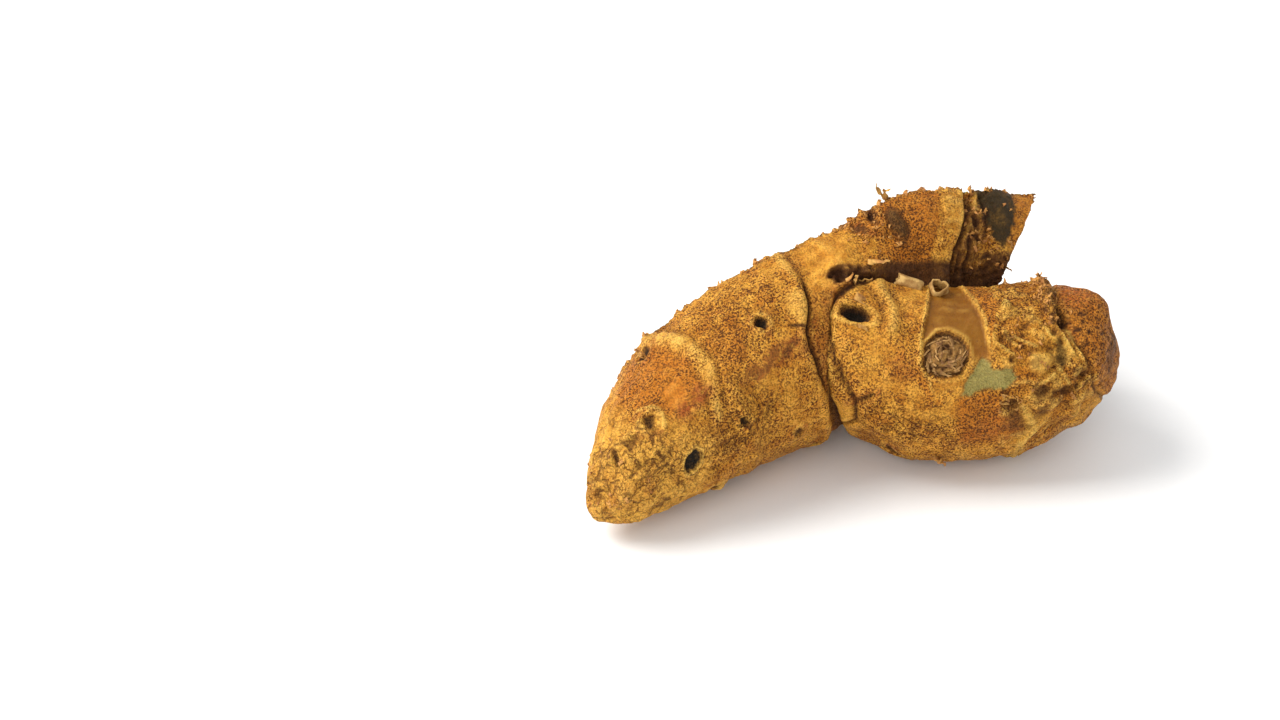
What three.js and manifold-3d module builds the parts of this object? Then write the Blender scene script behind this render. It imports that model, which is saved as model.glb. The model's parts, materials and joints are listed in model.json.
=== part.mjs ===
// Half of a fresh galangal rhizome, cut lengthwise: a jointed main finger whose back was sliced off flat,
// and one stout side lobe that grew out of its flank. It lies on a table on its skin side.
// Millimetres, +Z up, +X from the old end to the young one, origin at the bottom centre of the bounding box.
import * as THREE from "three";
import { mergeVertices } from "three/addons/utils/BufferGeometryUtils.js";
import Module from "manifold-3d";

const wasm = await Module();
wasm.setup();

// ---- Driving dimensions ----
// Each row is one stretch of a limb, from its old end to its young one. length runs along the axis,
// bearing is the heading in plan (0 is +X, 90 is +Y) and rise is the climb, both in degrees,
// and halfWidth and halfHeight are the section at the stretch's far end.
const FINGER_FROM = new THREE.Vector3(-39.3, -58, 5.5); // any spot will do, the part is centred at the end
const FINGER_START = { halfWidth: 4.5, halfHeight: 4.5 };
const FINGER = [
  { length: 10, bearing: 55, rise: 25, halfWidth: 8.8, halfHeight: 9.2 },
  { length: 12, bearing: 50, rise: 19, halfWidth: 12.4, halfHeight: 12.6 },
  { length: 14.5, bearing: 42, rise: 12.5, halfWidth: 14.8, halfHeight: 15.4 },
  { length: 12.5, bearing: 39, rise: 9, halfWidth: 14.8, halfHeight: 16.2 },
  { length: 6, bearing: 39, rise: 14, halfWidth: 13.2, halfHeight: 16 },
  { length: 12, bearing: 34, rise: 16, halfWidth: 12.5, halfHeight: 15.6 },
  { length: 11.5, bearing: 22, rise: -5, halfWidth: 11.6, halfHeight: 14 },
  { length: 11, bearing: 14, rise: -14, halfWidth: 10.8, halfHeight: 12.8 },
];
const FINGER_RINGS = [2, 4, 7]; // joints that carry a proud leaf-scar ring
const FINGER_ROUNDING = { old: 2.5, young: 3 }; // length over which each end closes

const LOBE_START = { halfWidth: 9.5, halfHeight: 9.5 };
const LOBE = [
  { length: 6, bearing: -18, rise: -12, halfWidth: 12.4, halfHeight: 12.4 },
  { length: 12, bearing: -9, rise: -14, halfWidth: 13.7, halfHeight: 13.6 },
  { length: 12, bearing: 2, rise: 2, halfWidth: 13.2, halfHeight: 13 },
  { length: 10, bearing: 5, rise: 15, halfWidth: 11.2, halfHeight: 11.2 },
  { length: 8.5, bearing: 0, rise: 22, halfWidth: 8.6, halfHeight: 8.4 },
];
const LOBE_RINGS = [4];
const LOBE_ROUNDING = { old: 2.5, young: 4.5 };
const LOBE_FROM = 4; // the finger joint that the lobe grows from
const LOBE_SIDESTEP = 9; // from that joint to the lobe's buried root, square out through the flank
const LOBE_SETBACK = 7.5; // from there back along the lobe
const LOBE_LIFT = 1.2;

const BREAK_BEARING = -13; // the old break that ends the finger looks this way
const BREAK_RISE = -20;
const BREAK_INSET = 5; // from the finger's young end back to the break

const RING_HEIGHT = 0.7; // a leaf scar stands this far above the skin
const RING_WIDTH = 1.6; // and falls away over this distance

const CUT_BEARING = 27; // heading of the knife in plan
const CUT_LEAN = 3; // the cut face looks this far above the horizon
const CUT_OFFSET = 1.5; // from the finger's young end out to the cut face

const SETTLE_BACK = 3; // the finished piece rolls this far back
const SETTLE_YOUNG = 1.3; // and dips this far at its young end until it lies still

const STEP = 1.3; // between sections along a limb
const CAP_STEPS = 5; // sections that round off each end
const SIDES = 48;
const KNIFE = 200; // edge of the block that a cut takes away, well past the whole part

// ---- Helpers ----
const degrees = THREE.MathUtils.degToRad;
const UP = new THREE.Vector3(0, 0, 1);

function heading(bearing, rise) {
  const flat = Math.cos(degrees(rise));
  return new THREE.Vector3(
    flat * Math.cos(degrees(bearing)),
    flat * Math.sin(degrees(bearing)),
    Math.sin(degrees(rise)),
  );
}

// Smooth interpolation of one size through the joints, at t stretches from the start.
function smoothSize(sizes) {
  const spline = new THREE.SplineCurve(sizes.map((value, i) => new THREE.Vector2(i, value)));
  return (t) => spline.getPoint(t / (sizes.length - 1)).y;
}

// How far the section has opened at a distance from an end: a quarter ellipse, from 0 on the tip to 1.
function opening(fromEnd, rounding) {
  return fromEnd < rounding ? Math.sqrt(1 - (1 - fromEnd / rounding) ** 2) : 1;
}

// One limb: a lathe whose straight axis is bent along the curve and whose circles become the sections.
function limb(start, base, stretches, rings, rounding) {
  const joints = [start.clone()];
  const stations = [0];
  for (const { bearing, rise, length } of stretches) {
    joints.push(joints.at(-1).clone().addScaledVector(heading(bearing, rise), length));
    stations.push(stations.at(-1) + length);
  }
  const curve = new THREE.CatmullRomCurve3(joints, false, "centripetal");
  const halfWidth = smoothSize([base.halfWidth, ...stretches.map((s) => s.halfWidth)]);
  const halfHeight = smoothSize([base.halfHeight, ...stretches.map((s) => s.halfHeight)]);
  const count = stretches.length;
  const total = stations[count];

  const alongs = [];
  for (let i = 0; i < CAP_STEPS; i++) {
    alongs.push(rounding.old * (1 - Math.cos((Math.PI / 2) * (i / CAP_STEPS))));
  }
  const middle = total - rounding.old - rounding.young;
  const steps = Math.round(middle / STEP);
  for (let i = 0; i <= steps; i++) alongs.push(rounding.old + (middle * i) / steps);
  for (let i = CAP_STEPS - 1; i >= 0; i--) {
    alongs.push(total - rounding.young * (1 - Math.cos((Math.PI / 2) * (i / CAP_STEPS))));
  }
  const profile = alongs.map((along) => {
    const open = opening(along, rounding.old) * opening(total - along, rounding.young);
    return new THREE.Vector2(open, along);
  });

  const shape = new THREE.LatheGeometry(profile, SIDES);
  const position = shape.getAttribute("position");
  const side = new THREE.Vector3();
  const up = new THREE.Vector3();
  for (let i = 0; i < position.count; i++) {
    const across = position.getX(i);
    const along = position.getY(i);
    const aloft = position.getZ(i);
    const whole = Math.min(stations.findLastIndex((s) => s <= along + 1e-9), count - 1);
    const t = Math.min(whole + (along - stations[whole]) / stretches[whole].length, count);
    let ring = 0;
    for (const r of rings) ring += RING_HEIGHT * Math.exp(-(((along - stations[r]) / RING_WIDTH) ** 2));
    const point = curve.getPoint(t / count);
    const tangent = curve.getTangent(t / count);
    side.crossVectors(tangent, UP).normalize();
    up.crossVectors(side, tangent);
    point.addScaledVector(side, across * (halfWidth(t) + ring));
    point.addScaledVector(up, aloft * (halfHeight(t) + ring));
    position.setXYZ(i, point.x, point.y, point.z);
  }
  return { solid: solidOf(shape), joints };
}

// A closed three.js geometry as a manifold solid.
function solidOf(geometry) {
  const bare = geometry.clone();
  bare.deleteAttribute("normal");
  bare.deleteAttribute("uv");
  const merged = mergeVertices(bare, 1e-4);
  return new wasm.Manifold(
    new wasm.Mesh({
      numProp: 3,
      vertProperties: merged.getAttribute("position").array,
      triVerts: new Uint32Array(merged.index.array),
    }),
  );
}

function geometryOf(solid) {
  const mesh = solid.getMesh();
  const geometry = new THREE.BufferGeometry();
  geometry.setAttribute("position", new THREE.BufferAttribute(mesh.vertProperties, 3));
  geometry.setIndex(new THREE.BufferAttribute(mesh.triVerts, 1));
  return geometry;
}

// A block that takes away everything on the far side of a plane through a point.
function knife(point, bearing, rise) {
  const block = new THREE.BoxGeometry(KNIFE, KNIFE, KNIFE);
  block.translate(KNIFE / 2, 0, 0);
  block.rotateY(degrees(-rise));
  block.rotateZ(degrees(bearing));
  block.translate(point.x, point.y, point.z);
  return solidOf(block);
}

// ---- The piece ----
const finger = limb(FINGER_FROM, FINGER_START, FINGER, FINGER_RINGS, FINGER_ROUNDING);
const flank = heading(FINGER[LOBE_FROM - 1].bearing - 90, 0);
const root = finger.joints[LOBE_FROM].clone().addScaledVector(flank, LOBE_SIDESTEP);
root.addScaledVector(heading(LOBE[0].bearing, 0), -LOBE_SETBACK);
root.z += LOBE_LIFT;
const lobe = limb(root, LOBE_START, LOBE, LOBE_RINGS, LOBE_ROUNDING);

const youngEnd = finger.joints.at(-1);
const cutLooks = heading(CUT_BEARING + 90, CUT_LEAN);
const cut = knife(youngEnd.clone().addScaledVector(cutLooks, CUT_OFFSET), CUT_BEARING + 90, CUT_LEAN);
const breakLooks = heading(BREAK_BEARING, BREAK_RISE);
const oldBreak = knife(youngEnd.clone().addScaledVector(breakLooks, -BREAK_INSET), BREAK_BEARING, BREAK_RISE);

const solid = finger.solid.subtract(oldBreak).add(lobe.solid).subtract(cut);
const body = geometryOf(solid);
body.rotateX(degrees(-SETTLE_BACK));
body.rotateY(degrees(SETTLE_YOUNG));
body.computeBoundingBox();
const box = body.boundingBox;
body.translate(-(box.min.x + box.max.x) / 2, -(box.min.y + box.max.y) / 2, -box.min.z);
body.computeVertexNormals();

const rhizome = new THREE.Mesh(
  body,
  new THREE.MeshStandardMaterial({ color: 0xc9974f, roughness: 0.75, metalness: 0 }),
);
rhizome.name = "rhizome";

const part = new THREE.Group();
part.add(rhizome);
export default part;
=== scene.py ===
# %% [markdown]
# # Half of a fresh galangal rhizome
# A rhizome is an underground stem. This one is a jointed main finger, sliced lengthwise so that its
# back is a flat cut face, with one stout side lobe that grew out of its flank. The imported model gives
# its true size and shape. Everything here starts from that shape and adds what a knife, the soil and
# drying did to its skin.

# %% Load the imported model
import json
import math
import random

import bmesh
import bpy
import numpy as np
from mathutils import Matrix, Vector, noise
from mathutils.bvhtree import BVHTree
from mathutils.kdtree import KDTree


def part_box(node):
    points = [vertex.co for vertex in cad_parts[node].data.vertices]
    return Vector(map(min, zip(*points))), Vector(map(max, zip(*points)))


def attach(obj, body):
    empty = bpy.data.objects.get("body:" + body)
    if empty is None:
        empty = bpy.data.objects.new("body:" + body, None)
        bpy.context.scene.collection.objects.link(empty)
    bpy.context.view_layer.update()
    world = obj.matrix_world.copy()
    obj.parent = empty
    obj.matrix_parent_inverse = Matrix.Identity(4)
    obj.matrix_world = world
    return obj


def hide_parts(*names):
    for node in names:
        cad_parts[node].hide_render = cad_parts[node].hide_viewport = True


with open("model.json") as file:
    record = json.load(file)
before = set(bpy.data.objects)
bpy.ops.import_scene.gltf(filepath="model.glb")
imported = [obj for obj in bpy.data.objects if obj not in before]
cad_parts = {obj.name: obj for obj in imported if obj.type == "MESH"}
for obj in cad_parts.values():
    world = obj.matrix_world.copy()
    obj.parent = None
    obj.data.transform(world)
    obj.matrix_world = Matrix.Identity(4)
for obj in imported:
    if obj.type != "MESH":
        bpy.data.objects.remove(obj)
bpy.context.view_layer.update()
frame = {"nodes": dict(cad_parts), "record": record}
low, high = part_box("rhizome")
mount = frame["record"]["mounts"][0]
MM = 0.001

# %% [markdown]
# ## The view
# A small thing on a table is best seen from a little above, through a lens long enough to keep its
# shape free of perspective swelling. The camera stands in front of the piece, looks down at 33 degrees
# and aims at a spot on the table to the left of its middle.

# %% Camera
LOOK_DOWN = math.radians(33)
DISTANCE = 0.470
LENS = 80
SENSOR = 36
AIM_IN = 0.0077  # right of the left side of the piece
AIM_FORE = 0.0026  # in front of its back
aim = Vector((low.x + AIM_IN, high.y - AIM_FORE, 0))
towards = Vector((0, math.cos(LOOK_DOWN), -math.sin(LOOK_DOWN)))
camera = bpy.data.objects.new("camera", bpy.data.cameras.new("camera"))
camera.data.lens = LENS
camera.data.sensor_width = SENSOR
camera.location = aim - DISTANCE * towards
camera.rotation_euler = (math.pi / 2 - LOOK_DOWN, 0, 0)
bpy.context.scene.collection.objects.link(camera)
bpy.context.scene.camera = camera
print("camera at", [round(value, 3) for value in camera.location])

# %% [markdown]
# ## The table and the light
# The surface is a plain white sheet. One big soft light stands on the left, so the skin is modelled
# from the side and the shadow falls to the right. A weaker one in front and the bright surroundings
# fill the rest.

# %% Floor and lights
SHEET_HALF = 1.5
# name, place, size, watts and colour
LIGHTS = [("window", (-0.95, 0.14, 0.98), 0.9, 23.0, (1.0, 0.98, 0.95)),
          ("fill", (-0.4, -1.0, 0.55), 0.9, 5.0, (1.0, 0.985, 0.96))]
SURROUNDINGS = (0.97, 0.985, 1.0, 1)
SURROUNDINGS_STRENGTH = 0.76


def mesh_object(name, mesh):
    piece = bpy.data.objects.new(name, mesh)
    bpy.context.scene.collection.objects.link(piece)
    return piece


def from_bmesh(name, bm):
    mesh = bpy.data.meshes.new(name)
    bm.to_mesh(mesh)
    bm.free()
    return mesh_object(name, mesh)


def soft_light(name, place, size, watts, colour):
    lamp = bpy.data.objects.new(name, bpy.data.lights.new(name, "AREA"))
    lamp.data.size = size
    lamp.data.energy = watts
    lamp.data.color = colour
    lamp.location = place
    lamp.rotation_euler = (-Vector(place)).to_track_quat("-Z", "Y").to_euler()
    bpy.context.scene.collection.objects.link(lamp)


bm = bmesh.new()
bmesh.ops.create_grid(bm, x_segments=2, y_segments=2, size=SHEET_HALF)
floor = from_bmesh("floor", bm)
for light in LIGHTS:
    soft_light(*light)
world = bpy.data.worlds.new("surroundings")
world.use_nodes = True
background = world.node_tree.nodes["Background"]
background.inputs["Color"].default_value = SURROUNDINGS
background.inputs["Strength"].default_value = SURROUNDINGS_STRENGTH
bpy.context.scene.world = world
bpy.context.scene.view_settings.view_transform = "Standard"

# %% [markdown]
# ## A skin fine enough to sculpt
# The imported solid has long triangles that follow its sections. Sculpting wants small even faces
# everywhere. A copy is merged and rebuilt by the Remesh modifier on a grid of cubes, which turns it
# into one closed skin of nearly square faces. At 0.36 mm they carry wrinkles, and the piece stays under
# 200,000 triangles.

# %% Even skin mesh
GRAIN = 0.36 * MM
SAME_POINT = 0.001 * MM


def even_skin(name, source, grain):
    bm = bmesh.new()
    bm.from_mesh(source.data)
    bmesh.ops.remove_doubles(bm, verts=bm.verts, dist=SAME_POINT)
    piece = from_bmesh(name, bm)
    remesh = piece.modifiers.new("even faces", "REMESH")
    remesh.mode = "VOXEL"
    remesh.voxel_size = grain
    evaluated = piece.evaluated_get(bpy.context.evaluated_depsgraph_get())
    piece.data = bpy.data.meshes.new_from_object(evaluated)
    piece.modifiers.clear()
    return piece


rhizome = even_skin("rhizome_skin", frame["nodes"]["rhizome"], GRAIN)
bm = bmesh.new()
bm.from_mesh(rhizome.data)
bmesh.ops.smooth_vert(bm, verts=bm.verts, factor=0.5, use_axis_x=True, use_axis_y=True, use_axis_z=True)
bm.to_mesh(rhizome.data)
bm.free()
count = len(rhizome.data.vertices)
print("skin mesh", count, "points", len(rhizome.data.polygons), "faces")

# %% [markdown]
# ## Finding one's way on the skin
# Features of a rhizome follow its limbs: scars run around them, wrinkles run along them. So each point
# gets two readings for each limb: how many millimetres along the axis it lies, from the old end, and
# how many degrees around, with 0 on top and 90 facing the camera's side. The axes are a few points
# inside each limb.

# %% Limb coordinates
FINGER_AXIS = [(-38, -25.5, 6), (-32.5, -17.5, 10), (-25.5, -9, 13), (-14.5, 1, 15.5), (-5, 8.5, 16.5),
               (-0.5, 12.5, 18), (9, 19, 20.5), (19.5, 23, 19), (30, 25.5, 16)]
LOBE_AXIS = [(-6.5, 4, 18), (-1, 2, 17), (10.5, 0, 14), (22.5, 0.5, 14), (32, 1.5, 16.5), (40, 2, 19.5)]
# how far the skin lies from the axis, as (mm along, mm out)
FINGER_GIRTH = [
    (0, 4.5), (10, 9), (22, 12.5), (36, 15), (49, 15.4), (55, 14.6), (67, 14), (78, 12.8), (89, 11.8),
]
LOBE_GIRTH = [(0, 9.5), (6, 12.4), (18, 13.6), (30, 13.1), (40, 11.2), (48, 8.5)]
UP = np.array((0.0, 0.0, 1.0))
BEHIND = 12
SOFTENING = 8


class Limb:
    """Reads points against one limb: along in mm, around in degrees, and out from the axis in mm."""

    def __init__(self, stops, girth):
        stops = np.array(stops, float)
        first_way = stops[0] - stops[1]
        stops = np.vstack([stops[0] + BEHIND * first_way / np.linalg.norm(first_way), stops])
        lengths = np.r_[0, np.cumsum(np.linalg.norm(np.diff(stops, axis=0), axis=1))]
        self.stations = np.arange(0, lengths[-1])
        line = np.stack([np.interp(self.stations, lengths, stops[:, k]) for k in range(3)], 1)
        for _ in range(SOFTENING):
            line[1:-1] = (line[:-2] + 2 * line[1:-1] + line[2:]) / 4
        self.line = line
        self.stations = self.stations - BEHIND
        self.ahead = np.gradient(line, axis=0)
        self.ahead /= np.linalg.norm(self.ahead, axis=1)[:, None]
        self.side = np.cross(self.ahead, UP)
        self.side /= np.linalg.norm(self.side, axis=1)[:, None]
        self.top = np.cross(self.side, self.ahead)
        self.girth = girth

    def read(self, points):
        nearest = np.zeros(len(points), int)
        closest = np.full(len(points), np.inf)
        for number, place in enumerate(self.line):
            reach = ((points - place) ** 2).sum(1)
            nearer = reach < closest
            closest[nearer] = reach[nearer]
            nearest[nearer] = number
        spoke = points - self.line[nearest]
        along = self.stations[nearest] + (spoke * self.ahead[nearest]).sum(1)
        sideways = (spoke * self.side[nearest]).sum(1)
        upwards = (spoke * self.top[nearest]).sum(1)
        return along, np.degrees(np.arctan2(sideways, upwards)), np.hypot(sideways, upwards)

    def fullness(self, along, out):
        """1 where the plain skin lies."""
        stations, reach = zip(*self.girth)
        return out / np.interp(along, stations, reach)

    def at(self, along, around):
        """A point on the axis and the direction out of it, for placing things by ray."""
        number = int(np.clip(round(along) + BEHIND, 0, len(self.line) - 1))
        turn = math.radians(around)
        out = self.top[number] * math.cos(turn) + self.side[number] * math.sin(turn)
        return Vector(self.line[number]), Vector(out)


def coordinates(mesh):
    flat = np.empty(len(mesh.vertices) * 3)
    mesh.vertices.foreach_get("co", flat)
    return flat.reshape(-1, 3)


def directions(mesh):
    flat = np.empty(len(mesh.vertices) * 3)
    mesh.vertex_normals.foreach_get("vector", flat)
    return flat.reshape(-1, 3)


finger = Limb(FINGER_AXIS, FINGER_GIRTH)
lobe = Limb(LOBE_AXIS, LOBE_GIRTH)
plain = coordinates(rhizome.data) / MM
outward = directions(rhizome.data)
finger_along, finger_around, finger_out = finger.read(plain)
lobe_along, lobe_around, lobe_out = lobe.read(plain)
print("finger is", round(finger_along.max()), "mm long, lobe", round(lobe_along.max()), "mm")

# %% [markdown]
# ## Which points belong to what
# A point is on the lobe where it is relatively closer to the lobe's axis. Where both are equally near,
# the two meet in a crevice. A point is on the cut face where it lies in the plane of the knife, which
# the record's mount gives. The end of the finger is an old break, which healed over.

# %% Regions
def ramp(value, start, end):
    """0 before start, 1 after end and an ease between them."""
    t = np.clip((value - start) / (end - start), 0, 1)
    return t * t * (3 - 2 * t)


def bell(value, width):
    return np.exp(-((value / width) ** 2))


cut_point = np.array(mount["pos_m"]) / MM
cut_looks = np.array(mount["axis"])
cut_depth = (plain - cut_point) @ cut_looks
cut_facing = outward @ cut_looks
lobe_lead = finger.fullness(finger_along, finger_out) - lobe.fullness(lobe_along, lobe_out)
lobe_lead = np.where(lobe_along < -6, -1, lobe_lead)
on_lobe = ramp(lobe_lead, -0.02, 0.02)
on_finger = 1 - on_lobe
# the narrow band where finger and lobe meet, which later gets painted shade
crevice = bell(lobe_lead, 0.024)
on_cut = ramp(cut_depth, -0.45, -0.15) * ramp(cut_facing, 0.55, 0.9)
skin_depth = -cut_depth
print("share of points on the cut face", round(float(on_cut.mean()), 3))

# %% [markdown]
# ## Tools for sculpting in code
# Sculpting is adding heights. Each helper answers, for every point, how far it is from a feature, and a
# step or a bell shape turns that into a height in millimetres. A patch is an ellipse on the skin of a
# limb. A course is a line that runs around a limb, given by a few (degrees around, mm along) stops. An
# area has an outline of a few corners.

# %% Sculpting helpers
READINGS = {"finger": (finger_along, finger_around, finger_out, on_finger),
            "lobe": (lobe_along, lobe_around, lobe_out, on_lobe)}
AWAY = 20.0


def patch(limb, along, around, long, wide, tilt=0):
    """Distance from the middle of an ellipse on the skin, 1 at its edge. tilt turns it, in degrees."""
    here, angle, out, belongs = READINGS[limb]
    ahead = here - along
    across = np.radians((angle - around + 180) % 360 - 180) * out
    turn = math.radians(tilt)
    first = ahead * math.cos(turn) + across * math.sin(turn)
    second = across * math.cos(turn) - ahead * math.sin(turn)
    return np.hypot(first / long, second / wide) + AWAY * (1 - belongs)


def beyond(limb, course):
    """Signed distance along a limb from a line that runs around it: positive towards the young end."""
    here, angle, out, belongs = READINGS[limb]
    stops, alongs = zip(*course)
    return here - np.interp(angle, stops, alongs, period=360)


def within(limb, corners):
    """Distance in mm from an outline of (mm along, degrees around) corners, positive inside it."""
    here, angle, out, belongs = READINGS[limb]
    across = np.radians(angle) * out
    girth = float(np.median(out[belongs > 0.5]))
    outline = [(along, math.radians(around) * girth) for along, around in corners]
    nearest = np.full(count, np.inf)
    inside = np.zeros(count, bool)
    for (x0, y0), (x1, y1) in zip(outline, outline[1:] + outline[:1]):
        share = ((here - x0) * (x1 - x0) + (across - y0) * (y1 - y0)) / math.hypot(x1 - x0, y1 - y0) ** 2
        share = np.clip(share, 0, 1)
        reach = np.hypot(here - x0 - share * (x1 - x0), across - y0 - share * (y1 - y0))
        nearest = np.minimum(nearest, reach)
        if y0 != y1:
            crossing = (y0 > across) != (y1 > across)
            inside ^= crossing & (here < x0 + (across - y0) * (x1 - x0) / (y1 - y0))
    return np.where(inside, nearest, -nearest) - AWAY * (1 - belongs)

print("points on the lobe", int((on_lobe > 0.5).sum()), "of", count)

# %% [markdown]
# Noise adds what no ruler has: grainy lumps, crests of torn fibre, wrinkles that run along a limb, and
# plates, the cells that old cork breaks into. Plates hold the distance from the nearest crack.

# %% Noise on the skin
CELL_WARP = 0.35
CELL_WARP_RATE = 1.7
NOISE_SEED = 1
noise.seed_set(NOISE_SEED)  # without it the vector noise is seeded from the clock


def grainy(size, seed, octaves=2):
    """Noise from about -1 to 1 with lumps of that size in mm."""
    shift = Vector((seed * 7.31, seed * 3.17, seed * 5.53))
    return np.array([noise.fractal(Vector(p) / size + shift, 1.0, 2.0, octaves) for p in plain])


def fibrous(size, seed):
    """Sharp crests like torn fibre, from 0 to about 1."""
    shift = Vector((seed * 2.39, seed * 8.11, seed * 4.77))
    field = [noise.ridged_multi_fractal(Vector(p) / size + shift, 1.0, 2.0, 3, 1.0, 2.0) for p in plain]
    return np.clip(np.array(field) / 2.5, 0, 1)


def rows(limb, long, wide, seed):
    """Wrinkles that run along a limb: noise with lumps long by wide mm, wrapped around it."""
    here, angle, out, belongs = READINGS[limb]
    turn = np.radians(angle)
    sheet = np.stack([here / long, np.cos(turn) * out / wide, np.sin(turn) * out / wide], 1)
    shift = Vector((seed * 6.13, seed * 1.71, seed * 9.29))
    return np.array([noise.fractal(Vector(p) + shift, 1.0, 2.0, 2) for p in sheet]) * belongs


def plated(size, seed):
    """0 on the cracks between plates of that size in mm, rising towards their middles."""
    shift = Vector((seed * 3.37, seed * 5.91, seed * 1.13))
    field = np.empty(count)
    for number, point in enumerate(plain):
        spot = Vector(point) / size + shift
        spot += CELL_WARP * noise.noise_vector(spot * CELL_WARP_RATE)
        nearest, second = noise.voronoi(spot)[0][:2]
        field[number] = second - nearest
    return field


swell = grainy(13, 1)
lumps = grainy(4.5, 2)
wrinkles = grainy(1.7, 3, 3)
fibre = fibrous(2.2, 4)
wobble = grainy(6, 5)
fine_fibre = fibrous(1.0, 6)
jitter = grainy(0.9, 7)
plates = plated(2.8, 8)
finger_rows = rows("finger", 7, 2.2, 2)
lobe_rows = rows("lobe", 5, 2.0, 3)
print("noise ranges", [round(float(np.abs(f).max()), 2) for f in (swell, lumps, wrinkles, fibre, plates)])

# %% [markdown]
# ## Heights and tints
# One number for each point holds how far the skin moves out. Alongside, a set of tints, each from 0 to
# 1, says where the skin is of another kind: pale ring, dark crack, orange stain and so on. They become
# attributes that the material reads, so colour and shape always agree.

# %% Start the sculpture
relief = np.zeros(count)
TINTS = ("ring", "crack", "scar", "orange", "red", "scaly", "smooth", "bare", "waxy", "mould", "flesh",
         "rim", "bark", "husk")
tints = {name: np.zeros(count) for name in TINTS}


def tint(name, amount):
    tints[name] = np.maximum(tints[name], np.clip(amount, 0, 1))


def report(step):
    print(f"{step}: relief from {relief.min():.2f} to {relief.max():.2f} mm")


relief += 0.55 * swell + 0.26 * lumps + 0.11 * wrinkles
relief += 0.20 * rows("finger", 6, 1.6, 1) * ramp(finger_along, 30, 14)
relief += 0.15 * finger_rows + 0.16 * lobe_rows
report("swells and wrinkles")

# %% [markdown]
# ## Joints of the finger
# Each leaf once wrapped the stem and left a scar when it dropped: a pale raised band with a thin dark
# crack on its young side. Nearest the old end is a narrow one that bends as it goes round. The fat
# middle joint ends in a deep crease with a step down and a swollen shoulder. Further on is a broad flat
# one.

# %% Finger rings
FIRST_RING = [
    (-180, 18), (-90, 21), (-30, 22), (0, 22.3), (16, 22), (28, 21.4), (38, 20.2), (50, 18.4),
    (75, 16.5), (120, 16),
]
MIDDLE_CREASE = [
    (-180, 45), (-90, 45.5), (-5, 43.6), (13, 42.3), (24, 41.4), (30, 40.8), (37, 39.5), (45, 37.9),
    (55, 37.2), (70, 36.6), (90, 37.5), (120, 39.5),
]
FAR_RING = [
    (-180, 68), (-90, 69), (-20, 70.8), (6, 71.6), (28, 70), (38, 68.8), (47, 67.2), (60, 66), (90, 66),
    (130, 67),
]

past_first = beyond("finger", FIRST_RING) + 0.25 * wobble
first_half = ramp(finger_around, 66, 48) + ramp(finger_around, 100, 130)
relief += on_finger * first_half * (0.28 * bell(past_first, 1.0) - 0.24 * bell(past_first - 1.6, 0.4)
                                    - 0.16 * bell(past_first + 1.6, 0.4))
tint("ring", on_finger * first_half * bell(past_first, 1.0) * (0.6 + 0.4 * lumps + 0.3 * wrinkles))
tint("crack", on_finger * bell(past_first + 1.35, 0.18) * ramp(wobble, -0.1, 0.4) * 0.5)
tint("crack", on_finger * first_half * bell(past_first - 1.5, 0.2) * ramp(wobble, 0.2, 0.5) * 0.45)

past_middle = beyond("finger", MIDDLE_CREASE) + 0.18 * wobble
sharp = ramp(finger_around, 12, 26) * ramp(finger_around, 90, 70) + 0.35
relief += on_finger * (0.40 * bell(past_middle + 1.5, 1.1) - 1.0 * sharp * bell(past_middle, 0.5)
                       - 0.55 * ramp(past_middle, -0.2, 1.2) * ramp(past_middle, 13, 4))
tint("crack", 0.85 * on_finger * bell(past_middle, 0.34) * sharp)
pale_run = ramp(finger_around, 22, 8) * ramp(wobble, -0.6, 0.2)
tint("ring", 0.6 * on_finger * bell(past_middle + 1.5, 0.7) * pale_run)
tint("red", on_finger * bell(past_middle - 1.2, 1.4) * 0.75 * ramp(finger_around, 22, 44))
shoulder = patch("finger", 38.6, 30, 2.0, 3.2, 12) + 0.15 * wrinkles
relief += 0.55 * on_finger * ramp(shoulder, 1.3, 0.2) * ramp(past_middle, 0.1, -0.4)
tint("ring", 0.45 * ramp(shoulder, 1.15, 0.5))
tint("smooth", 0.6 * ramp(shoulder, 1.3, 0.6))
side_crack = patch("finger", 36.9, 39.5, 1.9, 0.3, 38) + 0.1 * jitter
relief -= 0.3 * ramp(side_crack, 1.2, 0.3)
tint("crack", 0.9 * ramp(side_crack, 1.2, 0.5))
bright = on_finger * ramp(past_middle, 0.4, 2.0) * ramp(past_middle, 15, 11) * ramp(finger_around, 34, 22)
tint("smooth", 0.8 * bright)

past_far = beyond("finger", FAR_RING) + 0.2 * wobble
band = ramp(past_far, -2.2, -0.8) * ramp(past_far, 2.1, 1.4)
relief += on_finger * (0.42 * band + 0.3 * band * finger_rows - 0.6 * bell(past_far - 2.4, 0.5)
                       - 0.35 * ramp(past_far, 1.7, 2.4))
tint("ring", on_finger * band * (0.1 + 0.5 * finger_rows + 0.4 * wrinkles))
tint("crack", on_finger * bell(past_far - 2.3, 0.4) * ramp(finger_around, 4, 16))
report("finger rings")

# %% [markdown]
# ## The far end of the finger
# Beyond the last ring the skin was torn and dried: dark uneven folds run round it, then comes a patch
# gone nearly black, and a last orange lip where the knife ran out to a thin edge.

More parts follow.
